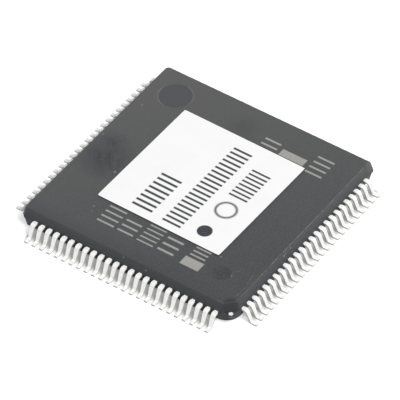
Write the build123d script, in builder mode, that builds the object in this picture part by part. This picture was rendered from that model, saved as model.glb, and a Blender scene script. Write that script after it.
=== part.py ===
from build123d import *
from math import radians, sqrt, tan
import os

# Microprocessor in a square plastic quad flat pack with 100 gull-wing leads, 25 on each side, and a paper
# label on its top face. All sizes are in millimetres. The origin is the centre of the seating plane, on
# which the lead feet stand. +Z is up. The corner beside pin 1 lies towards -X and -Y, and the pins count
# anticlockwise from there as seen from above: along -Y, +X, +Y and -X.

# Epoxy moulding
body_size = 14.0
standoff = 0.10
lower_height = 0.635
upper_height = 0.585
lower_draft = 12
upper_draft = 15
corner_chamfer = 0.24
upper_index_chamfer = 0.64
lower_index_radius = 0.90

# Marks that the mould leaves in the top face
index_dimple_radius = 0.44
index_dimple_floor_radius = 0.34
index_dimple_depth = 0.06
index_dimple_inset = 2.05
ejector_mark_radius = 0.98
ejector_mark_depth = 0.03
ejector_mark_inset = 1.92

# Lead frame strip and the gull-wing leads
frame_thickness = 0.13
leads_per_side = 25
lead_pitch = 0.50
lead_width = 0.22
shoulder_length = 0.30
leg_slope = 68
foot_length = 0.40
inside_bend_radius = 0.10
flats_per_bend = 3

# Inner ends of the leads, which fan in towards the die
finger_tip_width = 0.12
finger_tip_pitch = 0.24
finger_to_paddle_gap = 0.35

# Die paddle and the tie bars that held it in the lead frame
paddle_size = 6.4
paddle_downset = 0.20
tie_bar_width = 0.30
tie_bar_flat = 0.25
tie_bar_stub = 0.04

# Silicon die and the film that glues it to the paddle
die_size = 4.6
die_thickness = 0.28
die_attach_margin = 0.12
die_attach_thickness = 0.03

# Paper label, stuck on a little off centre and out of square
label_width = 8.29
label_height = 8.13
label_thickness = 0.08
label_centre = (0.19, -0.07)
label_turn = -0.7

# Heights above the seating plane
frame_bottom = standoff + lower_height
frame_top = frame_bottom + frame_thickness
frame_middle = frame_bottom + frame_thickness / 2
body_top = frame_top + upper_height
foot_middle = frame_thickness / 2
paddle_bottom = frame_bottom - paddle_downset
paddle_top = paddle_bottom + frame_thickness
paddle_middle = paddle_bottom + frame_thickness / 2
die_attach_top = paddle_top + die_attach_thickness
die_top = die_attach_top + die_thickness

# Distances out from the centre
wall = body_size / 2
shoulder_end = wall + shoulder_length
heel = shoulder_end + (frame_middle - foot_middle) / tan(radians(leg_slope))
toe = heel + foot_length
finger_tip = paddle_size / 2 + finger_to_paddle_gap
paddle_corner = paddle_size / sqrt(2)
moulding_corner = (body_size - corner_chamfer) / sqrt(2)

# Diagonal from the pin 1 corner through the centre, which sorts that corner before the others
index_diagonal = Axis((0, 0, 0), (1, 1, 0))


# Middle line of a lead outside the moulding, bent down from the shoulder and out again into the foot
with BuildLine() as smooth_lead:
    FilletPolyline(
        (wall, frame_middle),
        (shoulder_end, frame_middle),
        (heel, foot_middle),
        (toe, foot_middle),
        radius=inside_bend_radius + frame_thickness / 2,
    )

# Points along the two bends, between which the strip runs straight, so that many leads stay light
bends = smooth_lead.edges().filter_by(GeomType.CIRCLE).sort_by(Axis.X)
steps_in_bend = [step / flats_per_bend for step in range(flats_per_bend + 1)]
bend_points = [bend.position_at(step) for bend in bends for step in steps_in_bend]


# One row of leads, drawn on the +X side: each lead is a single strip from its toe to its inner tip
lead_centres = [(pin - (leads_per_side - 1) / 2) * lead_pitch for pin in range(leads_per_side)]

with BuildPart() as lead_row:
    # Outside the moulding the strip is a gull wing
    with BuildSketch(*[Plane.XZ.offset(-centre) for centre in lead_centres]):
        with BuildLine():
            Polyline((wall, frame_middle), *bend_points, (toe, foot_middle))
        trace(line_width=frame_thickness)
    extrude(amount=lead_width / 2, both=True)

    # Inside the moulding it runs on flat, narrowing towards its tip beside the die paddle
    with BuildSketch(Plane.XY.offset(frame_bottom)):
        for centre in lead_centres:
            tip_centre = centre * finger_tip_pitch / lead_pitch
            Polygon(
                (wall, centre - lead_width / 2),
                (wall, centre + lead_width / 2),
                (finger_tip, tip_centre + finger_tip_width / 2),
                (finger_tip, tip_centre - finger_tip_width / 2),
                align=None,
            )
    extrude(amount=frame_thickness)


def place_lead_row(name, turn):
    """One side's leads: the row turned about the centre to its side and labelled."""
    with BuildPart() as lead_bank:
        with PolarLocations(0, 1, start_angle=turn):
            add(lead_row.part)
    lead_bank.part.label = name
    return lead_bank.part


lead_banks = [
    place_lead_row("leads_pins_1_to_25", -90),
    place_lead_row("leads_pins_26_to_50", 0),
    place_lead_row("leads_pins_51_to_75", 90),
    place_lead_row("leads_pins_76_to_100", 180),
]


# Die paddle, set down below the leads, with a tie bar out to each corner of the moulding
with BuildPart() as die_paddle:
    with BuildSketch(Plane.XY.offset(paddle_bottom)):
        Rectangle(paddle_size, paddle_size)
    extrude(amount=frame_thickness)

    diagonals = [Plane.XZ.rotated((0, 0, turn)) for turn in (45, 135, 225, 315)]
    with BuildSketch(*diagonals):
        with BuildLine():
            Polyline(
                (paddle_corner - tie_bar_width, paddle_middle),
                (paddle_corner + tie_bar_flat, paddle_middle),
                (paddle_corner + tie_bar_flat + paddle_downset, frame_middle),
                (moulding_corner + tie_bar_stub, frame_middle),
            )
        trace(line_width=frame_thickness)
    extrude(amount=tie_bar_width / 2, both=True)
die_paddle.part.label = "die_paddle"


# Film of glue under the die
with BuildPart() as die_attach:
    with BuildSketch(Plane.XY.offset(paddle_top)):
        Rectangle(die_size + 2 * die_attach_margin, die_size + 2 * die_attach_margin)
    extrude(amount=die_attach_thickness)
die_attach.part.label = "die_attach"


# Silicon die
with BuildPart() as silicon_die:
    with BuildSketch(Plane.XY.offset(die_attach_top)):
        Rectangle(die_size, die_size)
    extrude(amount=die_thickness)
silicon_die.part.label = "silicon_die"


# Epoxy moulding, cast round the lead frame and the die in a mould that parts at the lead frame
with BuildPart() as mould_body:
    # Lower half, its sides drafted in towards the underside, with a rounded pin 1 corner
    with BuildSketch(Plane.XY.offset(standoff)) as lower_outline:
        Rectangle(body_size, body_size)
        chamfer(lower_outline.vertices().sort_by(index_diagonal)[1:], corner_chamfer)
        fillet(lower_outline.vertices().sort_by(index_diagonal)[0], lower_index_radius)
    extrude(amount=lower_height)
    lower_sides = mould_body.faces().filter_by(Axis.Z, reverse=True)
    draft(lower_sides, Plane.XY.offset(frame_bottom), -lower_draft)

    # Band as thick as the lead frame, where the two halves of the mould met on it
    with BuildSketch(Plane.XY.offset(frame_bottom)) as band_outline:
        Rectangle(body_size, body_size)
        chamfer(band_outline.vertices(), corner_chamfer)
    extrude(amount=frame_thickness)

    # Upper half, drafted in towards the top, with its pin 1 corner cut back behind the band
    with BuildSketch(Plane.XY.offset(frame_top)) as upper_outline:
        Rectangle(body_size, body_size)
        chamfer(upper_outline.vertices().sort_by(index_diagonal)[1:], corner_chamfer)
        chamfer(upper_outline.vertices().sort_by(index_diagonal)[0], upper_index_chamfer)
    extrude(amount=upper_height, taper=upper_draft)

    # Round dimple beside pin 1
    dimple_place = index_dimple_inset - wall
    with Locations((dimple_place, dimple_place, body_top)):
        Cone(
            index_dimple_floor_radius,
            index_dimple_radius,
            index_dimple_depth,
            align=(Align.CENTER, Align.CENTER, Align.MAX),
            mode=Mode.SUBTRACT,
        )

    # Shallow round mark of the ejector pin at the corner across from it
    mark_place = wall - ejector_mark_inset
    with Locations((mark_place, mark_place, body_top)):
        Cylinder(
            ejector_mark_radius,
            ejector_mark_depth,
            align=(Align.CENTER, Align.CENTER, Align.MAX),
            mode=Mode.SUBTRACT,
        )

    # The epoxy fills the space round everything that it was cast on
    add([*lead_banks, die_paddle.part, die_attach.part, silicon_die.part], mode=Mode.SUBTRACT)
mould_body.part.label = "mould_body"


# Paper label on the top face
label_plane = Plane(origin=(*label_centre, body_top)).rotated((0, 0, label_turn))
with BuildPart() as label:
    with BuildSketch(label_plane):
        Rectangle(label_width, label_height)
    extrude(amount=label_thickness)
label.part.label = "label"


os.makedirs("parts", exist_ok=True)
for piece in [mould_body.part, *lead_banks, die_paddle.part, die_attach.part, silicon_die.part, label.part]:
    export_step(piece, f"parts/{piece.label}.step")
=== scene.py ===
"""Looks of a quad flat pack microprocessor: moulding, gull-wing leads, paper label and a plain studio."""

import logging
from dataclasses import dataclass
from enum import Enum
from functools import cache, partial, partialmethod, reduce
from math import cos, pi, radians, sin, sqrt, tan
from typing import ClassVar

import bmesh
import bpy
import numpy as np
from mathutils import Matrix, Vector
from mathutils.geometry import delaunay_2d_cdt


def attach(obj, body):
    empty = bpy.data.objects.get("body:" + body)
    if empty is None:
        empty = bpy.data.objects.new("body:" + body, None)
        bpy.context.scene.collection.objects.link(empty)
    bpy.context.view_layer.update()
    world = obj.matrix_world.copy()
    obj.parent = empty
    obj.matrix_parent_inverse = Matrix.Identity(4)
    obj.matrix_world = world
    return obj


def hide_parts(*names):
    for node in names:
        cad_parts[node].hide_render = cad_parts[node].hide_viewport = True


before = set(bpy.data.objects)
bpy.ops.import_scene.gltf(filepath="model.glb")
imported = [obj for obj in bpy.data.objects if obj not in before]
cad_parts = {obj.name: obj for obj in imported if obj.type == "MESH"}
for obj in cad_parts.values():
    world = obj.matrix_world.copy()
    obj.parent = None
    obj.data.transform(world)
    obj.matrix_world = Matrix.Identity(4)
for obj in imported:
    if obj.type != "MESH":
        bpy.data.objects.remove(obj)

LOG = logging.getLogger("microprocessor")
MM = 0.001
SAME_PLACE = 0.00001
IMAGE_SIDE = 400
BODY = "root"
TOP = 1.45
FLAT_MARGIN = 0.03
LABEL_CENTRE = (0.19, -0.07)
LABEL_TURN = -0.7

Pair = tuple[float, float]
Colour = tuple[float, float, float]
Tree = bpy.types.NodeTree
Piece = bpy.types.Object
Socket = bpy.types.NodeSocket
Value = Socket | float | int
Feed = Value | Colour
Feeds = dict[str | int, Feed]
Points = np.ndarray
Corners = tuple[float, float, float, float]


class Side(Enum):
    """A side of the package, named after its leads' node, and the turn about +Z that brings +X there."""

    LEADS_PINS_1_TO_25 = -pi / 2
    LEADS_PINS_26_TO_50 = 0.0
    LEADS_PINS_51_TO_75 = pi / 2
    LEADS_PINS_76_TO_100 = pi

    @property
    def node(self) -> str:
        """Name of the CAD node on this side."""
        return self.name.lower()


class Kind(Enum):
    """Shader nodes that are used, by Blender's names without their common start."""

    ADD_SHADERS = "AddShader"
    ATTRIBUTE = "Attribute"
    BUMP = "Bump"
    CELLS = "TexVoronoi"
    COORDINATES = "TexCoord"
    EMISSION = "Emission"
    FINISH = "BsdfPrincipled"
    GROUP = "Group"
    LIGHT_PATH = "LightPath"
    MAPPING = "Mapping"
    MATHS = "Math"
    MIX = "Mix"
    MIX_SHADERS = "MixShader"
    NOISE = "TexNoise"
    OUTPUT = "OutputMaterial"
    RANGE = "MapRange"
    SPLIT = "SeparateXYZ"
    VECTORS = "VectorMath"


# Surfaces


def wound_quads(rows: int, columns: int, round_trip: bool) -> np.ndarray:
    """Quads of a grid of points stored row after row.

    Args:
        rows: Number of rows.
        columns: Number of points in a row.
        round_trip: Whether the last column joins the first.

    Returns:
        One line of four point numbers for each quad.
    """
    across = columns if round_trip else columns - 1
    row, column = np.meshgrid(np.arange(rows - 1) * columns, np.arange(across), indexing="ij")
    here, beside = row + column, row + (column + 1) % columns
    return np.stack([here, beside, beside + columns, here + columns], axis=-1).reshape(-1, 4)


def turned(points: Points, angle: float) -> Points:
    """Points turned about +Z: x' = x cos a - y sin a and y' = x sin a + y cos a."""
    spin = np.array([[cos(angle), sin(angle), 0.0], [-sin(angle), cos(angle), 0.0], [0.0, 0.0, 1.0]])
    return points @ spin


def stand(name: str, data: bpy.types.ID, place: Matrix | None = None) -> Piece:
    """Makes an object of the scene.

    Args:
        name: The object's name.
        data: Its mesh, light or camera.
        place: Where it stands, or None for the origin.

    Returns:
        The new object.
    """
    made = bpy.data.objects.new(name, data)
    if place is not None:
        made.matrix_world = place
    bpy.context.scene.collection.objects.link(made)
    return made


def make_piece(name: str, points: Points, faces: list[list[int]], smooth: float = 30.0) -> Piece:
    """Makes a mesh object from points in millimetres.

    Args:
        name: The piece's name.
        points: An array of points, one line each.
        faces: Lists of point numbers, wound so that the faces point outwards.
        smooth: Edges that turn by less than this angle, in degrees, are shaded smooth.

    Returns:
        The new object, at the origin, with no edge or face that has no size.
    """
    mesh = bpy.data.meshes.new(name)
    mesh.from_pydata((points * MM).tolist(), [], faces)
    shell = bmesh.new()
    shell.from_mesh(mesh)
    bmesh.ops.dissolve_degenerate(shell, dist=SAME_PLACE * MM, edges=shell.edges)
    shell.to_mesh(mesh)
    shell.free()
    mesh.validate()
    mesh.polygons.foreach_set("use_smooth", [True] * len(mesh.polygons))
    mesh.set_sharp_from_angle(angle=radians(smooth))
    mesh.update()
    return stand(name, mesh)


# Shader nodes


@dataclass(frozen=True)
class Bar:
    """A row of plain bars by its edges in millimetres; each field is named after an input of the effect."""

    left: float
    right: float
    bottom: float
    top: float
    bars: int = 1
    fill: float = 1.0


@dataclass(frozen=True)
class Spot:
    """A round spot in millimetres, with the width of its soft edge; it lies on the top face by default."""

    x: float
    y: float
    radius: float
    softness: float = 0.04
    z: float = TOP


class Bench:
    """Adds nodes to one node tree and joins them up."""

    def __init__(self, tree: Tree) -> None:
        """Starts on a tree."""
        self.tree = tree

    def feed(self, socket: Socket, value: Feed) -> None:
        """Links a socket to another, or writes a plain value on it.

        Args:
            socket: The input that is fed.
            value: A socket, a number or a colour.
        """
        if isinstance(value, Socket):
            self.tree.links.new(value, socket)
        elif isinstance(value, tuple) and socket.type == "RGBA":
            socket.default_value = (*value, 1.0)
        else:
            socket.default_value = value

    def node(self, kind: Kind, feeds: Feeds | None = None, **settings: object) -> bpy.types.Node:
        """Adds a node, sets its properties and feeds its inputs.

        Args:
            kind: The kind of node.
            feeds: What goes into its inputs, by their names or numbers.
            settings: Properties of the node by name.

        Returns:
            The new node.
        """
        made = self.tree.nodes.new(f"ShaderNode{kind.value}")
        for name, setting in settings.items():
            setattr(made, name, setting)
        for socket, value in (feeds or {}).items():
            self.feed(made.inputs[socket], value)
        return made

    def maths(self, operation: str, *values: Value, clamp: bool = False) -> Socket:
        """Result of one of Blender's sums on the values, kept from 0 to 1 if it is clamped."""
        feeds = dict(enumerate(values))
        return self.node(Kind.MATHS, feeds, operation=operation, use_clamp=clamp).outputs[0]

    def carried(self, operation: str, *values: Value) -> Socket:
        """Result of a sum on the first two values, then on that and the next value, and so on."""
        return reduce(partial(self.maths, operation), values)

    size = partialmethod(maths, "ABSOLUTE")
    plus = partialmethod(carried, "ADD")
    less = partialmethod(carried, "SUBTRACT")
    times = partialmethod(carried, "MULTIPLY")
    over = partialmethod(carried, "DIVIDE")
    most = partialmethod(carried, "MAXIMUM")
    least = partialmethod(carried, "MINIMUM")

    def stretch(self, value: Value, low: float, high: float, start: float = 0.0, end: float = 1.0) -> Socket:
        """A value carried from low..high onto start..end along a smooth step."""
        feeds = {"Value": value, "From Min": low, "From Max": high, "To Min": start, "To Max": end}
        return self.node(Kind.RANGE, feeds, interpolation_type="SMOOTHSTEP", clamp=True).outputs[0]

    def blend(self, share: Value, under: Socket | Colour, over: Socket | Colour) -> Socket:
        """Two colours mixed, with as much of the one over as the share says, from 0 to 1."""
        feeds = {0: share, 6: under, 7: over}
        return self.node(Kind.MIX, feeds, data_type="RGBA", clamp_factor=True).outputs[2]

    def millimetres(self, centre: Pair = (0.0, 0.0), turn: float = 0.0) -> Socket:
        """Object coordinates in millimetres, counted from a centre along turned axes.

        Args:
            centre: The new centre in millimetres.
            turn: Turn of the new axes in degrees.

        Returns:
            The coordinates' socket.
        """
        feeds = {
            "Vector": self.node(Kind.COORDINATES).outputs["Object"],
            "Location": (centre[0] * MM, centre[1] * MM, 0.0),
            "Rotation": (0.0, 0.0, radians(turn)),
            "Scale": (MM, MM, MM),
        }
        return self.node(Kind.MAPPING, feeds, vector_type="TEXTURE").outputs["Vector"]

    def split(self, place: Socket) -> tuple[Socket, ...]:
        """The three coordinates of a place."""
        return tuple(self.node(Kind.SPLIT, {0: place}).outputs)


class Effect(Bench):
    """A shared effect: a node group that puts out masks and values."""

    def __init__(self, name: str, inputs: dict[str, float | None], *outputs: str) -> None:
        """Opens a new group.

        Args:
            name: The effect's name.
            inputs: Each input's name with its default number, or None for a place.
            outputs: Names of the values that it puts out.
        """
        super().__init__(bpy.data.node_groups.new(name, "ShaderNodeTree"))
        for label, default in inputs.items():
            kind = "NodeSocketVector" if default is None else "NodeSocketFloat"
            socket = self.tree.interface.new_socket(name=label, in_out="INPUT", socket_type=kind)
            if default is not None:
                socket.default_value = default
        for label in outputs:
            self.tree.interface.new_socket(name=label, in_out="OUTPUT", socket_type="NodeSocketFloat")
        self.inputs = self.tree.nodes.new("NodeGroupInput").outputs
        self.outputs = self.tree.nodes.new("NodeGroupOutput").inputs

    def put(self, label: str, value: Socket) -> None:
        """Sends a value out under a label."""
        self.feed(self.outputs[label], value)


@cache
def grain_effect() -> Tree:
    """Fine grain with coarser mottling.

    Returns:
        A group that takes a place in millimetres, the sizes of grain, mottling and specks, and puts out Fine
        and Coarse, both around 0.5, and Specks, a mask of scattered bright points.
    """
    wanted = {"Place": None, "Grain": 0.05, "Mottle": 1.5, "Speck": 0.12}
    group = Effect("grain", wanted, "Fine", "Coarse", "Specks")
    place, grain, mottle, speck, _ = group.inputs
    for label, size, detail in (("Fine", grain, 2.0), ("Coarse", mottle, 4.0)):
        feeds = {"Vector": place, "Scale": group.over(1.0, size), "Detail": detail}
        group.put(label, group.node(Kind.NOISE, feeds).outputs["Fac"])
    feeds = {"Vector": place, "Scale": group.over(1.0, speck)}
    cells = group.node(Kind.CELLS, feeds, feature="F1")
    near = group.stretch(cells.outputs["Distance"], 0.10, 0.22, 1.0, 0.0)
    red, _, _ = group.split(cells.outputs["Color"])
    group.put("Specks", group.times(near, group.stretch(red, 0.90, 0.96)))
    return group.tree


@cache
def bars_effect() -> Tree:
    """A row of upright bars in a rectangle.

    Returns:
        A group that takes a place, the rectangle's edges, the number of bars and the share of each step
        that a bar fills, and puts out Mask, 1 inside a bar. It cuts the row into equal steps and keeps what
        lies within half the fill of each step's middle.
    """
    wanted = {"Place": None, "Left": 0.0, "Right": 1.0, "Bottom": 0.0, "Top": 1.0, "Bars": 1.0, "Fill": 1.0}
    group = Effect("row of bars", {**wanted, "Softness": 0.03}, "Mask")
    place, left, right, bottom, top, bars, fill, soft, _ = group.inputs
    across, up, _ = group.split(place)
    step = group.over(group.less(right, left), bars)
    along = group.less(across, left)
    cell = group.maths("FRACT", group.over(along, step))
    off_middle = group.times(group.size(group.less(cell, 0.5)), step)
    inside = group.less(group.times(step, fill, 0.5), off_middle), along, group.less(right, across)
    depth = group.least(*inside, group.less(up, bottom), group.less(top, up))
    level = group.over(group.plus(depth, group.times(soft, 0.5)), soft)
    group.put("Mask", group.least(group.most(level, 0.0), 1.0))
    return group.tree


@cache
def spot_effect() -> Tree:
    """A soft-edged round spot, with the ring along its rim.

    Returns:
        A group that takes a place, the centre, the radius and the softness, and puts out Disc, 1 inside, and
        Rim, 1 on the circle.
    """
    wanted = {"Place": None, "Centre": None, "Radius": 1.0, "Softness": 0.03}
    group = Effect("spot", wanted, "Disc", "Rim")
    place, centre, radius, soft, _ = group.inputs
    away = group.node(Kind.VECTORS, {0: place, 1: centre}, operation="DISTANCE").outputs["Value"]
    level = group.over(group.less(radius, away), soft)
    group.put("Disc", group.maths("ADD", level, 0.5, clamp=True))
    group.put("Rim", group.maths("SUBTRACT", 1.0, group.size(level), clamp=True))
    return group.tree


# Finishes


def new_material(name: str) -> bpy.types.Material:
    """Opens an empty material.

    Args:
        name: The material's name.

    Returns:
        The material, with no nodes.
    """
    made = bpy.data.materials.new(name)
    made.use_nodes = True
    made.node_tree.nodes.clear()
    return made


class Coat(Bench):
    """The nodes of one finish, whose colour is laid on tone over tone."""

    def __init__(self, tree: Tree, finish: "Finish") -> None:
        """Starts with the finish's ground colour.

        Args:
            tree: The material's empty tree.
            finish: The finish.
        """
        super().__init__(tree)
        self.colour: Socket | Colour = finish.ground
        self.place = self.millimetres(finish.centre, finish.turn)
        self.across, self.up, self.height = self.split(self.place)

    def lay(self, tone: Colour, *shares: Value) -> None:
        """Lays a tone over the colour so far, as much as the product of the shares."""
        self.colour = self.blend(self.times(*shares), self.colour, tone)

    def noise(
        self, size: float, detail: float = 3.0, rough: float = 0.55, place: Socket | None = None
    ) -> Socket:
        """Noise around 0.5: patches of a size in millimetres, in finer layers of so much weight."""
        feeds = {"Vector": place or self.place, "Scale": 1.0 / size, "Detail": detail, "Roughness": rough}
        return self.node(Kind.NOISE, feeds).outputs["Fac"]

    def scaled(self, place: Socket, *along: float) -> Socket:
        """Coordinates stretched by a factor along each axis."""
        feeds = {"Vector": place, "Scale": along}
        return self.node(Kind.MAPPING, feeds, vector_type="POINT").outputs["Vector"]

    def bump(self, height: Socket, depth: float, strength: float = 0.5) -> Socket:
        """Normals of a relief from 0 to 1, with its full depth in millimetres and the share that shows."""
        feeds = {"Height": height, "Distance": depth * MM, "Strength": strength}
        return self.node(Kind.BUMP, feeds).outputs[0]

    def grain(self, grain: float, mottle: float, speck: float) -> tuple[Socket, ...]:
        """Fine grain, mottling and specks of these sizes in millimetres."""
        feeds = {"Place": self.place, "Grain": grain, "Mottle": mottle, "Speck": speck}
        return tuple(self.node(Kind.GROUP, feeds, node_tree=grain_effect()).outputs)

    def bars(self, rows: tuple[Bar, ...], softness: float, place: Socket | None = None) -> Socket:
        """Mask of several rows of bars.

        Args:
            rows: The rows.
            softness: Width of a bar's soft edge in millimetres.
            place: Coordinates in millimetres, if they aren't the finish's own.

        Returns:
            The mask's socket.
        """
        masks = []
        for row in rows:
            feeds = {name.title(): value for name, value in vars(row).items()}
            feeds |= {"Place": place or self.place, "Softness": softness}
            masks.append(self.node(Kind.GROUP, feeds, node_tree=bars_effect()).outputs["Mask"])
        return self.most(*masks)

    def spots(self, *spots: Spot, part: str = "Disc") -> Socket:
        """Mask of several round spots.

        Args:
            spots: The spots.
            part: "Disc" for whole spots or "Rim" for their outlines.

        Returns:
            The mask's socket.
        """
        masks = []
        for spot in spots:
            feeds = {"Place": self.place, "Centre": (spot.x, spot.y, spot.z)}
            feeds |= {"Radius": spot.radius, "Softness": spot.softness}
            masks.append(self.node(Kind.GROUP, feeds, node_tree=spot_effect()).outputs[part])
        return self.most(*masks)


class Finish:
    """A material with one principled shader, whose inputs a subclass feeds."""

    name: ClassVar[str]
    ground: ClassVar[Colour]
    centre: Pair = (0.0, 0.0)
    turn: float = 0.0

    def feeds(self, coat: Coat) -> Feeds:
        """What goes into the shader's inputs, by their names, with its nodes on the coat."""
        raise NotImplementedError

    @cache
    def material(self) -> bpy.types.Material:
        """Builds the material the first time it is wanted.

        Returns:
            The material.
        """
        made = new_material(self.name)
        coat = Coat(made.node_tree, self)
        shader = coat.node(Kind.FINISH, self.feeds(coat))
        coat.node(Kind.OUTPUT, {"Surface": shader.outputs["BSDF"]})
        return made

    def dress(self, piece: Piece) -> None:
        """Puts the finish on a piece in place of what it had."""
        piece.data.materials.clear()
        piece.data.materials.append(self.material())


def seat(piece: Piece, finish: Finish, replaced: str) -> None:
    """Dresses a piece and lets it ride on the part's body.

    Args:
        piece: The piece.
        finish: Its finish.
        replaced: The CAD node that the piece stands for.
    """
    finish.dress(piece)
    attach(piece, BODY)
    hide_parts(replaced)
    LOG.info("%s: %d faces", piece.name, len(piece.data.polygons))


@dataclass(frozen=True)
class MouldedEpoxy(Finish):
    """Dark grey epoxy with a matt mould grain, laser marks and the wear of handling, under a painted sheen,
    with painted highlights and painted shade.
    """

    name: ClassVar[str] = "moulded epoxy"
    ground: ClassVar[Colour] = (0.055, 0.057, 0.061)
    light: Colour = (0.074, 0.076, 0.080)
    # Painted sheen, which lightens the moulding away from pin 1.
    haze: Colour = (0.123, 0.124, 0.119)
    smudge: Colour = (0.043, 0.046, 0.052)
    soot: Colour = (0.032, 0.034, 0.037)
    # Painted shade for the pin 1 dimple and for the label's cut sides.
    grime: Colour = (0.036, 0.036, 0.036)
    # Painted shade: near-black tone of the tie bar's pit.
    hollow: Colour = (0.008, 0.008, 0.009)
    # Tone of the ejector mark: its smoother floor, darker as a painted duller reflection.
    smooth: Colour = (0.066, 0.070, 0.074)
    mark: Colour = (0.37, 0.365, 0.35)
    # Pale tone of wear and of painted highlights on the edges, the ejector rim and the pin 1 ledge.
    rubbed: Colour = (0.17, 0.165, 0.15)
    chipped: Colour = (0.26, 0.25, 0.23)
    haze_start: float = 7.5
    haze_length: float = 34.0
    wall_foot: Pair = (0.88, 1.38)
    left_smudge: Pair = (-6.4, -5.2)
    front_edge: float = 6.79
    front_wear: Pair = (-5.4, -2.6)
    left_edge: float = 6.81
    left_wear: Pair = (-4.4, -3.2)
    back_edge: float = 6.84
    band_edge: float = 0.845
    dimple: Spot = Spot(-4.98, -4.93, 0.52, 0.14, 1.41)
    ejector: Spot = Spot(5.08, 5.08, 0.98, 0.16, 1.43)
    ejector_rim: Spot = Spot(5.08, 5.08, 1.00, 0.06)
    view_turn: float = -55.4
    marks: tuple[Bar, ...] = (
        Bar(-5.60, -3.94, 1.90, 3.02, 4, 0.28), Bar(-5.60, -4.30, 0.64, 1.66, 3, 0.28),
        Bar(-5.60, -3.94, -0.72, 0.34, 5, 0.28), Bar(-5.60, -4.10, -2.02, -0.98, 3, 0.28),
        Bar(-5.62, -4.96, -3.80, -2.60), Bar(-4.86, -3.94, -3.66, -2.70, 3, 0.34),
        Bar(4.48, 5.34, -2.04, -1.00, 2, 0.30), Bar(4.42, 4.94, -3.92, -2.30),
        Bar(4.00, 5.76, -5.30, -4.22, 4, 0.28),
    )
    clouds: tuple[Spot, ...] = (Spot(-1.25, 5.40, 1.15, 1.5), Spot(-0.1, 5.75, 0.55, 1.2))
    faint_cloud: Spot = Spot(5.1, 0.5, 0.65, 0.9)
    corner_haze: Spot = Spot(6.90, -6.92, 0.36, 0.6, 1.15)
    index_chamfer: Spot = Spot(-6.60, -6.66, 0.50, 0.20, 1.15)
    index_ledge: Spot = Spot(-6.75, -6.75, 0.55, 0.30, 0.857)
    pit: Spot = Spot(-6.85, -6.63, 0.075, 0.04, 0.857)
    chips: tuple[Spot, ...] = (
        Spot(-1.85, 4.33, 0.07), Spot(-4.68, 3.74, 0.045), Spot(-5.06, 3.60, 0.03), Spot(-3.98, -4.22, 0.05),
        Spot(-4.85, -5.52, 0.04), Spot(3.40, 6.19, 0.04), Spot(0.25, 6.63, 0.04),
        Spot(-1.80, -6.893, 0.06, z=1.262), Spot(-1.64, -6.879, 0.045, z=1.314),
        Spot(-1.15, -6.880, 0.045, z=1.313), Spot(-6.92, -1.30, 0.05, z=1.18),
        Spot(-6.88, 0.20, 0.035, z=1.30),
    )
    scratches: tuple[tuple[float, float, float, float], ...] = (
        (-5.20, -6.62, -3.0, 1.60), (-4.55, -6.50, 4.0, 0.90), (-4.35, -5.62, -26.0, 0.70),
        (-3.30, -6.05, -62.0, 0.60),
    )
    scratch_half: float = 0.012

    def smudges(self, coat: Coat) -> None:
        """Lays dark patches on the top face, hatched by fine strokes, darkens the chamfer at pin 1, paints
        shade into the pin 1 dimple, and tones the ejector mark darker, partly for its smoother floor and
        partly as a painted duller reflection.

        Args:
            coat: The colour so far.
        """
        turned_place = coat.scaled(coat.millimetres(turn=self.view_turn), 4.0, 0.7, 1.0)
        hatch = coat.stretch(coat.noise(0.8, 2.0, place=turned_place), 0.36, 0.60, 0.70, 1.0)
        ragged = coat.noise(0.8, 4.0, 0.6)
        coat.lay(self.smudge, coat.spots(*self.clouds), hatch, coat.stretch(ragged, 0.15, 0.5))
        coat.lay(self.smudge, coat.spots(self.faint_cloud), 0.35)
        coat.lay(self.smudge, coat.stretch(coat.plus(coat.across, ragged), *self.left_smudge, 0.35, 0.0))
        # Darkens the chamfer at the pin 1 corner.
        coat.lay(self.soot, coat.spots(self.index_chamfer), coat.stretch(ragged, 0.2, 0.5, 0.7, 1.0))
        # Painted shade in the pin 1 dimple, broken up by noise.
        coat.lay(self.grime, coat.spots(self.dimple), coat.stretch(coat.noise(0.14), 0.35, 0.65, 0.15, 0.75))
        # The ejector mark: darker for its smoother floor and as a painted duller reflection than the painted
        # sheen round it.
        coat.lay(self.smooth, coat.spots(self.ejector), 0.85)

    def wear(self, coat: Coat, specks: Socket) -> None:
        """Lays pale edge lines, partly wear and partly painted highlight, painted highlights on the ejector
        rim and the pin 1 ledge, a pale patch at the right corner, painted shade in the tie bar's pit,
        scratches and chips.

        Args:
            coat: The colour so far.
            specks: Scattered points.
        """
        on_top = coat.stretch(coat.height, TOP - 0.05, TOP - 0.02)
        patchy = coat.stretch(coat.noise(0.30, 5.0, 0.7), 0.40, 0.60, 0.15, 0.85)
        # Pale lines along the top edges: partly wear and partly painted highlight of the rounded edges; the
        # left one near pin 1 is painted highlight only.
        front = coat.stretch(coat.size(coat.plus(coat.up, self.front_edge)), 0.01, 0.05, 1.0, 0.0)
        front = coat.times(front, coat.stretch(coat.across, *self.front_wear, 0.45, 1.0))
        left = coat.stretch(coat.size(coat.plus(coat.across, self.left_edge)), 0.01, 0.05, 1.0, 0.0)
        highlight_breaks = coat.stretch(coat.noise(0.45, 3.0, 0.6), 0.48, 0.62, 0.08, 0.55)
        left = coat.times(highlight_breaks, coat.stretch(coat.up, *self.left_wear, 1.0, 0.15), left)
        back = coat.stretch(coat.most(coat.across, coat.up), self.back_edge - 0.05, self.back_edge - 0.01)
        line = coat.times(coat.most(front, left, back), patchy)
        # Painted highlight on the ejector mark's rim, strongest at its sides across the view.
        beside, _, _ = coat.split(coat.millimetres((self.ejector.x, self.ejector.y), self.view_turn))
        rim_highlight_sides = coat.stretch(coat.size(beside), 0.55, 0.85, 0.1, 0.9)
        rim = coat.times(coat.spots(self.ejector_rim, part="Rim"), rim_highlight_sides)
        coat.lay(self.rubbed, coat.most(line, rim), on_top)
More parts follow.
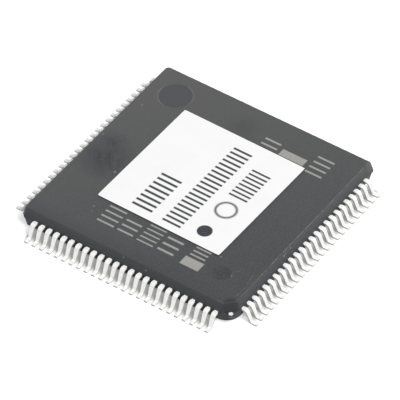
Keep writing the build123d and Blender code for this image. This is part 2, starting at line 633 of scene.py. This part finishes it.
        # A pale patch on the wall at the right corner.
        coat.lay(self.rubbed, coat.spots(self.corner_haze), 0.5)
        # Painted highlight on the level ledge round the pin 1 corner.
        ledge = coat.stretch(coat.size(coat.less(coat.height, self.band_edge)), 0.01, 0.03, 0.22, 0.0)
        coat.lay(self.rubbed, ledge, coat.spots(self.index_ledge))
        # Painted shade: a near-black pit by the tie bar's end at the pin 1 corner.
        coat.lay(self.hollow, coat.spots(self.pit))
        scratches = []
        for x, y, turn, length in self.scratches:
            line = Bar(-length / 2, length / 2, -self.scratch_half, self.scratch_half)
            scratches.append(coat.bars((line,), 0.03, coat.millimetres((x, y), turn)))
        coat.lay(self.rubbed, coat.most(*scratches), on_top, patchy)
        coat.lay(self.chipped, coat.most(coat.spots(*self.chips), coat.times(specks, 0.12)), 0.8)

    def feeds(self, coat: Coat) -> Feeds:
        """Grain, a painted sheen that thickens away from pin 1, dark feet of the walls, smudges, wear with
        painted highlights and shade, and burnt marks.

        Args:
            coat: Its nodes.

        Returns:
            The shader's inputs by name.
        """
        fine, coarse, specks = coat.grain(0.11, 2.2, 0.20)
        coat.lay(self.light, coat.stretch(fine, 0.30, 0.70))
        # Painted sheen: a lighter, warmer tone across the moulding that grows away from pin 1 and stands in
        # for the lamp's sheen.
        sheen_ramp = coat.plus(coat.across, coat.up, coat.times(coarse, 3.0), self.haze_start)
        coat.lay(self.haze, coat.maths("DIVIDE", sheen_ramp, self.haze_length, clamp=True))
        # The walls darken towards their foot, in the smudge tone.
        coat.lay(self.smudge, coat.stretch(coat.height, *self.wall_foot, 0.65, 0.0))
        self.smudges(coat)
        self.wear(coat, specks)
        on_top = coat.stretch(coat.height, TOP - 0.02, TOP - 0.01)
        broken = coat.stretch(coat.noise(0.09, 2.0), 0.30, 0.50, 0.70, 1.0)
        coat.lay(self.mark, coat.bars(self.marks, 0.05), on_top, broken)
        return {
            "Base Color": coat.colour,
            "Roughness": coat.stretch(fine, 0.2, 0.8, 0.50, 0.64),
            "Specular IOR Level": 0.25,
            "Normal": coat.bump(fine, 0.008),
        }


@dataclass(frozen=True)
class TinPlate(Finish):
    """Matt tin plate on the leads, brighter where forming has rubbed the legs, dull where sheared."""

    name: ClassVar[str] = "tin plate"
    ground: ClassVar[Colour] = (0.91, 0.91, 0.90)
    bright: Colour = (0.965, 0.965, 0.955)
    leg_tone: Colour = (0.79, 0.79, 0.775)
    sheared: Colour = (0.60, 0.60, 0.575)
    # Share of the sheared tone on the back row, whose sides are painted lighter against the shade they stand
    # in.
    clean_row: float = 0.15
    clean_from: Pair = (6.3, 7.0)
    leg_low: float = 0.20
    leg_high: float = 0.68

    def feeds(self, coat: Coat) -> Feeds:
        """Cloudy plate, dull sheared sides that are painted lighter on the back row against its shade, and
        legs that reflect more than the level stretches.

        Args:
            coat: Its nodes.

        Returns:
            The shader's inputs by name.
        """
        fine, coarse, _ = coat.grain(0.05, 0.30, 0.10)
        coat.lay(self.bright, coat.stretch(coarse, 0.35, 0.65))
        cut = coat.node(Kind.ATTRIBUTE, attribute_name="sheared").outputs["Fac"]
        over = coat.stretch(coat.height, self.leg_low - 0.08, self.leg_low + 0.04)
        under = coat.stretch(coat.height, self.leg_high - 0.04, self.leg_high + 0.06, 1.0, 0.0)
        leg = coat.times(over, under, coat.less(1.0, cut))
        coat.lay(self.leg_tone, leg)
        # Painted light: the back row's sheared sides are kept lighter, against the shade the body casts on
        # them.
        row = coat.stretch(coat.up, *self.clean_from, 1.0, self.clean_row)
        coat.lay(self.sheared, cut, coat.stretch(over, 0.0, 1.0, 0.85, 0.95), row)
        return {
            "Base Color": coat.colour,
            "Metallic": coat.stretch(leg, 0.0, 1.0, 0.05, 0.85),
            "Roughness": coat.stretch(coarse, 0.3, 0.7, 0.48, 0.36),
            "Normal": coat.bump(fine, 0.003),
        }


@dataclass(frozen=True)
class FramePlate(Finish):
    """Copper alloy of the lead frame, tarnished at the corners' cut ends, with one bright patch of tin."""

    name: ClassVar[str] = "frame strip"
    ground: ClassVar[Colour] = (0.70, 0.40, 0.27)
    tin: Colour = (0.95, 0.95, 0.94)
    dull: Colour = (0.060, 0.057, 0.055)
    open_from: float = 8.9
    upper_face: float = 0.865
    open_patch: Spot = Spot(-6.76, -6.775, 0.125, 0.05, 0.865)

    def feeds(self, coat: Coat) -> Feeds:
        """Rolled copper, tarnish beyond a distance from the centre, and tin in the open patch.

        Args:
            coat: Its nodes.

        Returns:
            The shader's inputs by name.
        """
        rolled = coat.noise(0.5, 4.0, place=coat.scaled(coat.place, 1.0, 12.0, 1.0))
        coat.lay(self.tin, coat.stretch(rolled, 0.3, 0.7, 0.0, 0.3))
        squares = coat.plus(coat.times(coat.across, coat.across), coat.times(coat.up, coat.up))
        out = coat.stretch(coat.maths("SQRT", squares), self.open_from, self.open_from + 0.05)
        coat.lay(self.dull, out)
        face = coat.stretch(coat.height, self.upper_face - 0.02, self.upper_face - 0.005)
        coat.lay(self.tin, coat.spots(self.open_patch), face)
        return {
            "Base Color": coat.colour,
            "Metallic": coat.stretch(out, 0.0, 1.0, 1.0, 0.05),
            "Roughness": coat.stretch(rolled, 0.3, 0.7, 0.30, 0.42),
            "Normal": coat.bump(rolled, 0.002),
        }


@dataclass(frozen=True)
class LabelPaper(Finish):
    """Coated white label paper with dark printed bars, a ring and a dot, and painted shade along its cut
    edges.
    """

    name: ClassVar[str] = "label paper"
    ground: ClassVar[Colour] = (0.965, 0.965, 0.965)
    shade: Colour = (0.945, 0.945, 0.94)
    ink: Colour = (0.040, 0.043, 0.048)
    # Painted shade on the cut sides.
    grime: Colour = (0.035, 0.035, 0.037)
    centre: Pair = LABEL_CENTRE
    turn: float = LABEL_TURN
    face: float = 1.52
    dot: Spot = Spot(-3.06, -2.37, 0.44, 0.04, 1.53)
    ring: Spot = Spot(-1.07, -2.40, 0.59, 0.13, 1.53)
    print_rows: tuple[Bar, ...] = (
        Bar(-3.70, -0.56, 0.82, 2.17, 8, 0.42), Bar(-3.78, 3.38, -1.14, 0.07, 20, 0.42),
        Bar(-0.04, 2.50, -2.98, -1.76, 8, 0.42),
    )

    def feeds(self, coat: Coat) -> Feeds:
        """Paper tone, print on the upper face, and painted shade on the sides.

        Args:
            coat: Its nodes.

        Returns:
            The shader's inputs by name.
        """
        fine, coarse, _ = coat.grain(0.06, 1.4, 0.25)
        coat.lay(self.shade, coat.stretch(coarse, 0.35, 0.75))
        rounds = coat.spots(self.dot), coat.spots(self.ring, part="Rim")
        printed = coat.most(*rounds, coat.bars(self.print_rows, 0.05))
        coat.lay(self.ink, printed, coat.stretch(fine, 0.25, 0.45, 0.85, 1.0))
        # Painted shade on the cut sides, for the dark line along the label's edge.
        coat.lay(self.grime, coat.stretch(coat.height, self.face - 0.015, self.face - 0.003, 1.0, 0.0))
        return {
            "Base Color": coat.colour,
            "Roughness": coat.stretch(fine, 0.3, 0.7, 0.60, 0.75),
            "Specular IOR Level": 0.25,
            "Normal": coat.bump(fine, 0.002, 0.3),
        }


@dataclass(frozen=True)
class DieGlue(Finish):
    """Silver-filled glue under the die."""

    name: ClassVar[str] = "die glue"
    ground: ClassVar[Colour] = (0.55, 0.55, 0.53)
    flake: Colour = (0.78, 0.78, 0.76)

    def feeds(self, coat: Coat) -> Feeds:
        """Paste with metal flakes.

        Args:
            coat: Its nodes.

        Returns:
            The shader's inputs by name.
        """
        fine, _, specks = coat.grain(0.04, 0.5, 0.05)
        coat.lay(self.flake, coat.plus(specks, coat.stretch(fine, 0.4, 0.8)))
        relief = coat.bump(fine, 0.003, 0.6)
        return {"Base Color": coat.colour, "Metallic": specks, "Roughness": 0.5, "Normal": relief}


@dataclass(frozen=True)
class PolishedSilicon(Finish):
    """Silicon die with the faint rectangles of its circuit blocks."""

    name: ClassVar[str] = "polished silicon"
    ground: ClassVar[Colour] = (0.13, 0.14, 0.18)
    block: Colour = (0.30, 0.27, 0.33)
    blocks: tuple[Bar, ...] = (Bar(-2.0, 1.9, 0.4, 2.0, 5, 0.86), Bar(-2.0, 1.9, -2.0, 0.2, 3, 0.92))

    def feeds(self, coat: Coat) -> Feeds:
        """Block fields over a dark polished ground.

        Args:
            coat: Its nodes.

        Returns:
            The shader's inputs by name.
        """
        lines = coat.noise(0.4, place=coat.scaled(coat.place, 9.0, 1.0, 1.0))
        coat.lay(self.block, coat.bars(self.blocks, 0.02), coat.stretch(lines, 0.2, 0.8, 0.5, 1.0))
        polish = coat.stretch(lines, 0.3, 0.7, 0.16, 0.24)
        return {"Base Color": coat.colour, "Metallic": 0.6, "Roughness": polish}


# The moulding


@dataclass(frozen=True)
class Recess:
    """A shallow round recess in the top face: centre, radius, depth, and how far its wall runs in."""

    x: float
    y: float
    radius: float
    depth: float
    run_in: float
    lip_share: float = 0.3
    steps: int = 72

    @property
    def rim(self) -> float:
        """Radius of the outermost circle."""
        return self.radius + self.depth * self.lip_share + FLAT_MARGIN

    def circles(self) -> Points:
        """Circles from the rounded rim down the wall and half-way in over the floor.

        Each runs clockwise as seen from above, as the hole in the top face needs.

        Returns:
            The circles in order.
        """
        lip = self.depth * self.lip_share
        rounded, bottom = lip * self.lip_share, TOP - self.depth
        edge, wall, floor = self.radius, self.radius - self.run_in, self.radius - self.run_in - lip
        radii = [self.rim, edge + lip, edge + rounded, edge, wall, floor, floor / 2]
        heights = [TOP, TOP, TOP - rounded, TOP - lip, bottom + lip, bottom, bottom]
        angles = -np.arange(self.steps) * 2 * pi / self.steps
        radius, height = np.array([radii, heights])[:, :, None]
        x, y = self.x + radius * np.cos(angles), self.y + radius * np.sin(angles)
        return np.stack([x, y, np.broadcast_to(height, x.shape)], axis=-1)


@dataclass
class Moulding:
    """Epoxy moulding with rounded edges, a band at the parting line and two recesses in its top face."""

    half_size: float = 7.0
    underside: float = 0.10
    band_bottom: float = 0.743
    band_top: float = 0.857
    lower_draft: float = 12.0
    upper_draft: float = 15.0
    lower_chamfers: Corners = (0.24, 0.24, 0.0, 0.24)
    band_chamfers: Corners = (0.24, 0.20, 0.24, 0.09)
    upper_chamfers: Corners = (0.24, 0.20, 0.64, 0.09)
    lower_rounds: Corners = (0.05, 0.05, 0.90, 0.05)
    upper_rounds: Corners = (0.05, 0.05, 0.05, 0.05)
    top_rounding: float = 0.05
    low_rounding: float = 0.06
    least_cut: float = 0.03
    corner_steps: int = 6
    edge_steps: int = 4
    smooth: float = 24.0
    dimple: Recess = Recess(-4.95, -4.95, 0.44, 0.06, 0.10)
    ejector: Recess = Recess(5.08, 5.08, 0.98, 0.03, 0.01)
    finish: Finish = MouldedEpoxy()

    def outline(self, height: float, inset: float, cuts: Corners, rounds: Corners) -> Points:
        """A closed outline at one height.

        Each side moves in by the inset, and a chamfer's leg then shrinks by (2 - sqrt 2) times the inset. A
        cut corner is two small arcs, each turning by 45 degrees, with the chamfer's flat between them. A
        round corner is one arc, given as two halves, so that both kinds have as many points.

        Args:
            height: Height above the seating plane.
            inset: How far the sides stand in from the parting line.
            cuts: Chamfer leg of each corner at no inset, anticlockwise from +X +Y, or 0 for a round corner.
            rounds: Radius of each corner.

        Returns:
            The outline's points, anticlockwise as seen from above.
        """
        half = self.half_size - inset
        angles = np.linspace(0.0, pi / 4, self.corner_steps)
        arcs = [np.stack([np.cos(turn), np.sin(turn)], axis=1) for turn in (angles, angles + pi / 4)]
        loop = []
        for quarter, (cut, radius) in enumerate(zip(cuts, rounds)):
            leg = max(cut - (2 - sqrt(2)) * inset, self.least_cut)
            centre = np.array([half - radius, half - leg - radius * tan(pi / 8) if cut else half - radius])
            corner = np.concatenate([centre + radius * arcs[0], centre[::-1] + radius * arcs[1]])
            loop.append(turned(np.column_stack([corner, np.full(len(corner), height)]), quarter * pi / 2))
        return np.concatenate(loop)

    def rings(self) -> list[Points]:
        """Outlines from the underside to the top face, with quarter-round edges worked out as arcs.

        A narrow ring on each side of a rounded edge belongs to the flat face there, so that the large faces
        keep their own shading.

        Returns:
            The outlines in order.
        """
        turns = [(1 - cos(angle), 1 - sin(angle)) for angle in np.linspace(0.0, pi / 2, self.edge_steps)]
        low, high = self.low_rounding, self.top_rounding
        lower = [(self.underside, low + FLAT_MARGIN)]
        lower += [(self.underside + low * rise, low * run) for rise, run in turns]
        lower += [(self.underside + low + FLAT_MARGIN, 0.0), (self.band_bottom, 0.0)]
        upper = [(self.band_top, 0.0), (TOP - high - FLAT_MARGIN, 0.0)]
        upper += [(TOP - high * rise, high * run) for rise, run in turns[::-1]]
        upper += [(TOP, high + FLAT_MARGIN)]
        slope, corners = tan(radians(self.lower_draft)), (self.lower_chamfers, self.lower_rounds)
        rings = [self.outline(up, (self.band_bottom - up) * slope + more, *corners) for up, more in lower]
        corners = self.band_chamfers, self.upper_rounds
        rings += [self.outline(up, 0.0, *corners) for up in (self.band_bottom, self.band_top)]
        slope, corners = tan(radians(self.upper_draft)), (self.upper_chamfers, self.upper_rounds)
        rings += [self.outline(up, (up - self.band_top) * slope + more, *corners) for up, more in upper]
        return rings

    def top_face(self, points: Points, loops: list[np.ndarray]) -> list[list[int]]:
        """Triangles between the outer edge and the recesses.

        A triangle lies in a recess when its middle is nearer to the centre than the flats between the rim's
        points are, and is left out.

        Args:
            points: All points of the moulding.
            loops: Point numbers of the outer edge and of each rim.

        Returns:
            Three point numbers for each triangle.
        """
        order = np.concatenate(loops)
        flat = points[order][:, :2]
        edges, start = [], 0
        for loop in loops:
            edges += [(start + step, start + (step + 1) % len(loop)) for step in range(len(loop))]
            start += len(loop)
        corners = [Vector(place) for place in flat.tolist()]
        _, _, triangles, origins, _, _ = delaunay_2d_cdt(corners, edges, [], 1, 1e-7)
        kept = []
        for face in triangles:
            x, y = flat[list(face)].mean(axis=0)
            away = [np.hypot(x - hole.x, y - hole.y) / hole.rim for hole in (self.dimple, self.ejector)]
            if min(away) > cos(pi / self.dimple.steps):
                kept.append([int(order[origins[corner][0]]) for corner in face])
        return kept

    def build(self) -> None:
        """Lofts the outlines, closes the top face round the recesses and seats the piece."""
        rings = self.rings()
        columns = len(rings[0])
        points = np.concatenate(rings)
        faces = [*wound_quads(len(rings), columns, True).tolist(), list(range(columns))[::-1]]
        loops = [np.arange(columns) + len(points) - columns]
        for recess in (self.dimple, self.ejector):
            circles, count = recess.circles(), len(points)
            quads = wound_quads(len(circles), recess.steps, True)[:, ::-1] + count
            points = np.concatenate([points, *circles])
            floor = np.arange(len(points) - recess.steps, len(points))[::-1]
            faces += [*quads.tolist(), floor.tolist()]
            loops.append(np.arange(recess.steps) + count)
        faces += self.top_face(points, loops)
        piece = make_piece("epoxy_moulding", points, faces, self.smooth)
        seat(piece, self.finish, "mould_body")


# The leads


@dataclass
class LeadBanks:
    """The four rows of gull-wing leads, each lead a strip carried along its bent middle line."""

    pins: int = 25
    pitch: float = 0.50
    width: float = 0.22
    thickness: float = 0.13
    wall: float = 7.0
    shoulder: float = 0.30
    slope: float = 68.0
    foot: float = 0.40
    bend_radius: float = 0.10
    level: float = 0.80
    finger_end: float = 3.55
    finger_pitch: float = 0.24
    finger_width: float = 0.12
    stub: float = 0.04
    stub_reach: tuple[float, ...] = (7.02, 7.10, 7.24, 7.42, 7.60)
    stub_share: tuple[float, ...] = (0.0, 1.0, 1.0, 0.5, 0.0)
    bend_steps: int = 4
    edge_cut: float = 0.018
    sheared_columns: tuple[int, ...] = (0, 1, 5, 6)
    smooth: float = 40.0
    finish: Finish = TinPlate()

    def middle_line(self) -> tuple[Points, Points]:
        """Middle line of a lead seen from the side.

        Both bends are arcs of the inside radius plus half the thickness. The first turns the level strip
        down to the slope, about a centre under it, and the second turns it level again, about a centre over
        the foot.

        Returns:
            The points, as distance out and height, and the direction of the strip at each.
        """
        radius = self.bend_radius + self.thickness / 2
        steep = radians(self.slope)
        set_back = radius * tan(steep / 2)
        foot_level = self.thickness / 2
        shoulder_end = self.wall + self.shoulder
        heel = shoulder_end + (self.level - foot_level) / tan(steep)
        angles = np.linspace(0.0, steep, self.bend_steps + 1)
        along, up = radius * np.sin(angles), radius * np.cos(angles)
        level = [[reach, self.level] for reach in (self.finger_end, *self.stub_reach[:2])]
        down = np.column_stack([shoulder_end - set_back + along, self.level - radius + up])
        out = np.column_stack([heel + set_back - along, foot_level + radius - up])[::-1]
        line = np.concatenate([level, down, out, [[heel + self.foot, foot_level]]])
        headings = np.concatenate([[0.0, 0.0, 0.0], angles, angles[::-1], [0.0]])
        return line, np.column_stack([np.cos(headings), -np.sin(headings)])

    def strip(self) -> Points:
        """Surface points of every lead on the +X side.

        A point is the middle line, plus the section's height along the strip's normal, plus its breadth
        sideways. The breadth grows by a stub on each side of the shoulder, where the dam bar was cut off, and
        runs back to the plain width down the leg. Inside the moulding the breadth and the sideways place run
        in to those of the fan.

        Returns:
            An array of pin, station, place in the section, and coordinate.
        """
        line, heading = self.middle_line()
        normal = np.column_stack([-heading[:, 1], heading[:, 0]])
        half, cut = self.thickness / 2, self.edge_cut
        section_up = np.array([-half, -half + cut, half - cut, half, half, half - cut, -half + cut, -half])
        section_side = np.array([1.0] * 4 + [-1.0] * 4)
        section_cut = np.array([cut, 0.0, 0.0, cut] * 2)
        breadth = self.width / 2 + self.stub * np.interp(line[:, 0], self.stub_reach, self.stub_share)
        breadth[0] = self.finger_width / 2
        spread = np.full(len(line), self.pitch)
        spread[0] = self.finger_pitch
        place = (np.arange(self.pins) - (self.pins - 1) / 2)[:, None] * spread
        out = line[:, :1] + normal[:, :1] * section_up
        height = line[:, 1:] + normal[:, 1:] * section_up
        side = place[:, :, None] + (breadth[:, None] - section_cut) * section_side
        return np.stack(np.broadcast_arrays(out, side, height), axis=-1)

    def build(self) -> None:
        """Makes one piece of leads for each side, and marks the faces where the strip was sheared."""
        strips = self.strip()
        _, stations, around, _ = strips.shape
        quads = wound_quads(stations, around, True)
        starts = np.arange(self.pins)[:, None] * stations * around
        walls = (quads[None] + starts[:, :, None]).reshape(-1, 4).tolist()
        tips = (np.arange(around)[None, ::-1] + starts).tolist()
        toes = (np.arange(around)[None] + starts + (stations - 1) * around).tolist()
        cut_columns = np.isin(np.arange(len(quads)) % around, self.sheared_columns)
        sheared = np.concatenate([np.tile(cut_columns, self.pins), np.ones(2 * self.pins)]).astype(np.float32)
        for side in Side:
            points = turned(strips.reshape(-1, 3), side.value)
            name = side.node.replace("leads_pins", "gull_wings")
            piece = make_piece(name, points, walls + tips + toes, self.smooth)
            piece.data.attributes.new("sheared", "FLOAT", "FACE").data.foreach_set("value", sheared)
            seat(piece, self.finish, side.node)


# The label


@dataclass
class PaperLabel:
    """Paper label with softened corners, which lies almost flat."""

    width: float = 8.29
    height: float = 8.13
    thickness: float = 0.08
    centre: Pair = LABEL_CENTRE
    turn: float = LABEL_TURN
    corner_radius: float = 0.05
    steps: int = 48
    wave: float = 0.006
    wave_paces: Pair = (1.3, 1.1)
    wave_starts: Pair = (0.4, 1.0)
    sunk: float = 0.004
    finish: Finish = LabelPaper()

    def sheet(self, thickness: float) -> Points:
        """Grid over the label at one height.

        Rows and columns run from edge to edge. Near a corner a point moves in by the corner's radius times
        the part of the square that the rounded corner leaves out. The surface rises and falls by two crossed
        sine waves.

        Args:
            thickness: Height above the moulding.

        Returns:
            The points, row after row.
        """
        along = np.linspace(-1.0, 1.0, self.steps)
        size = np.array([self.width, self.height])
        flat = np.stack(np.meshgrid(along, along), axis=-1) * size / 2
        inner = size / 2 - self.corner_radius
        over = np.maximum(np.abs(flat) - inner, 0.0)
        reach = np.maximum(np.hypot(over[..., :1], over[..., 1:]), SAME_PLACE)
        squeeze = np.where(reach > self.corner_radius, self.corner_radius / reach, 1.0)
        flat = np.sign(flat) * (np.minimum(np.abs(flat), inner) + over * squeeze)
        crossed = np.sin(flat * self.wave_paces + self.wave_starts).prod(axis=-1, keepdims=True)
        ripple = self.wave / 2 * (crossed - 1.0) if thickness > 0 else 0.0 * crossed
        points = np.concatenate([flat, TOP + thickness + ripple], axis=-1).reshape(-1, 3)
        return turned(points, radians(self.turn)) + np.array([*self.centre, 0.0])

    def build(self) -> None:
        """Joins the upper and lower grids along their rims and seats the piece."""
        upper, lower = self.sheet(self.thickness), self.sheet(-self.sunk)
        quads = wound_quads(self.steps, self.steps, False)
        faces = quads.tolist() + (quads[:, ::-1] + len(upper)).tolist()
        numbers = np.arange(len(upper)).reshape(self.steps, self.steps)
        rim = np.concatenate([numbers[0, :-1], numbers[:-1, -1], numbers[-1, :0:-1], numbers[:0:-1, 0]])
        following = np.roll(rim, -1)
        faces += np.stack([rim + len(upper), following + len(upper), following, rim], axis=1).tolist()
        piece = make_piece("paper_label", np.concatenate([upper, lower]), faces)
        seat(piece, self.finish, "label")


# Inside


@dataclass
class InnerPieces:
    """CAD pieces that stay: the die paddle with its tie bars, the glue and the die."""

    die_paddle: Finish = FramePlate()
    die_attach: Finish = DieGlue()
    silicon_die: Finish = PolishedSilicon()

    def build(self) -> None:
        """Dresses the node that each field is named after."""
        for node, finish in vars(self).items():
            finish.dress(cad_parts[node])
            LOG.info("%s: dressed", node)


# The studio


def towards(azimuth: float, elevation: float) -> Vector:
    """Direction of length 1, by its angle round from +X and its angle up from level, in degrees."""
    turn, rise = radians(azimuth), radians(elevation)
    return Vector((cos(rise) * cos(turn), cos(rise) * sin(turn), sin(rise)))


@dataclass
class Studio:
    """White floor with a painted shadow under the part, even sky, one square soft light and the camera."""

    azimuth: float = 34.573
    elevation: float = 44.517
    distance: float = 279.2246
    focal_pixels: float = 5062.945
    offset: Pair = (0.0775, -0.42394)
    aim_height: float = 0.8
    sensor: float = 36.0
    clip: Pair = (0.001, 10.0)
    sky_level: float = 0.32
    floor_half: float = 400.0
    floor_glow: Pair = (0.215, 0.54)
    # Painted shadow: the floor's tone under the part.
    floor_under: Colour = (0.46, 0.46, 0.44)
    floor_tone: Colour = (0.72, 0.72, 0.72)
    floor_bounce: Colour = (0.45, 0.45, 0.45)
    footprint: Pair = (7.01, 7.75)
    footprint_shift: Pair = (-0.37, -0.37)
    corner_from: Pair = (6.00, 6.18)
    corner_shift: Pair = (0.30, 0.22)
    lamp_azimuth: float = -106.0
    lamp_elevation: float = 54.0
    lamp_distance: float = 900.0
    lamp_side: float = 380.0
    lamp_level: float = 0.88

    def camera(self) -> None:
        """Places the camera: it looks down at the elevation, along the azimuth counted from +X."""
        ahead = towards(self.azimuth, -self.elevation)
        right = towards(self.azimuth - 90.0, 0.0)
        above = right.cross(ahead)
        place = Vector((0.0, 0.0, self.aim_height)) + right * self.offset[0] + above * self.offset[1]
        place -= ahead * self.distance
        data = bpy.data.cameras.new("camera")
        data.sensor_width = self.sensor
        data.sensor_fit = "HORIZONTAL"
        data.lens = self.focal_pixels * self.sensor / IMAGE_SIDE
        data.clip_start, data.clip_end = self.clip
        facing = Matrix((right, above, -ahead)).transposed().to_4x4()
        bpy.context.scene.camera = stand("camera", data, Matrix.Translation(place * MM) @ facing)

    def seen_directly(self, bench: Bench) -> Socket:
        """1 on rays from the camera and on rays reflected or let through by gloss."""
        rays = bench.node(Kind.LIGHT_PATH).outputs
        return bench.most(rays["Is Camera Ray"], rays["Is Glossy Ray"], rays["Is Transmission Ray"])

    def sky(self) -> None:
        """Lights the scene evenly from all round, and shows white where it is seen."""
        world = bpy.data.worlds.new("studio")
        bpy.context.scene.world = world
        world.use_nodes = True
        bench = Bench(world.node_tree)
        background = world.node_tree.nodes["Background"].inputs
        background["Color"].default_value = (1.0, 1.0, 1.0, 1.0)
        seen = self.seen_directly(bench)
        bench.feed(background["Strength"], bench.stretch(seen, 0.0, 1.0, self.sky_level, 1.0))

    def clear_of_part(self, bench: Bench) -> Socket:
        """Mask of the floor's painted shadow: 0 under the part and its shoulders, where the floor is painted
        darker and glows less as a shadow, 1 beyond the toes and off the four corners.

        Both outlines stand off the part's centre, so that the tone changes where the photograph shows it to
        change from its own side.

        Args:
            bench: Where the nodes go.

        Returns:
            The mask's socket.
        """
        across, up, _ = map(bench.size, bench.split(bench.millimetres(self.footprint_shift)))
        beyond = bench.stretch(bench.most(across, up), *self.footprint)
        across, up, _ = map(bench.size, bench.split(bench.millimetres(self.corner_shift)))
        return bench.most(beyond, bench.stretch(bench.least(across, up), *self.corner_from))

    def floor(self) -> None:
        """Floor that looks white, with a painted shadow under the part, and keeps its soft cast shadow too.
        """
        corners = np.array([[-1.0, -1.0, 0.0], [1.0, -1.0, 0.0], [1.0, 1.0, 0.0], [-1.0, 1.0, 0.0]])
        floor = make_piece("floor", corners * self.floor_half, [[0, 1, 2, 3]])
        floor.data.materials.append(new_material("studio floor"))
        bench = Bench(floor.data.materials[0].node_tree)
        matt = {"Roughness": 1.0, "Specular IOR Level": 0.0}
        clear = self.clear_of_part(bench)
        # Painted shadow: a darker tone and a weaker glow under the part.
        tone = bench.blend(clear, self.floor_under, self.floor_tone)
        shown = bench.node(Kind.FINISH, {"Base Color": tone, **matt})
        glow = bench.node(Kind.EMISSION, {"Strength": bench.stretch(clear, 0.0, 1.0, *self.floor_glow)})
        bright = bench.node(Kind.ADD_SHADERS, {0: shown.outputs[0], 1: glow.outputs[0]})
        bounce = bench.node(Kind.FINISH, {"Base Color": self.floor_bounce, **matt})
        feeds = {0: self.seen_directly(bench), 1: bounce.outputs[0], 2: bright.outputs[0]}
        bench.node(Kind.OUTPUT, {"Surface": bench.node(Kind.MIX_SHADERS, feeds).outputs[0]})

    def light(self) -> None:
        """Hangs the lamp: a level of 1 renders a white surface that faces the lamp as white."""
        away = towards(self.lamp_azimuth, self.lamp_elevation)
        data = bpy.data.lights.new("key", "AREA")
        data.shape = "SQUARE"
        data.size = self.lamp_side * MM
        data.energy = self.lamp_level * pi * pi * (self.lamp_distance * MM) ** 2
        facing = away.to_track_quat("Z", "Y").to_matrix().to_4x4()
        stand("key", data, Matrix.Translation(away * self.lamp_distance * MM) @ facing)

    def build(self) -> None:
        """Sets the whole studio up."""
        bpy.context.scene.view_settings.view_transform = "Standard"
        self.camera()
        self.sky()
        self.floor()
        self.light()


def main() -> None:
    """Builds the studio and every sub-assembly in order."""
    logging.basicConfig(level=logging.INFO)
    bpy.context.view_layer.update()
    Studio().build()
    Moulding().build()
    LeadBanks().build()
    PaperLabel().build()
    InnerPieces().build()


if __name__ == "__main__":
    main()
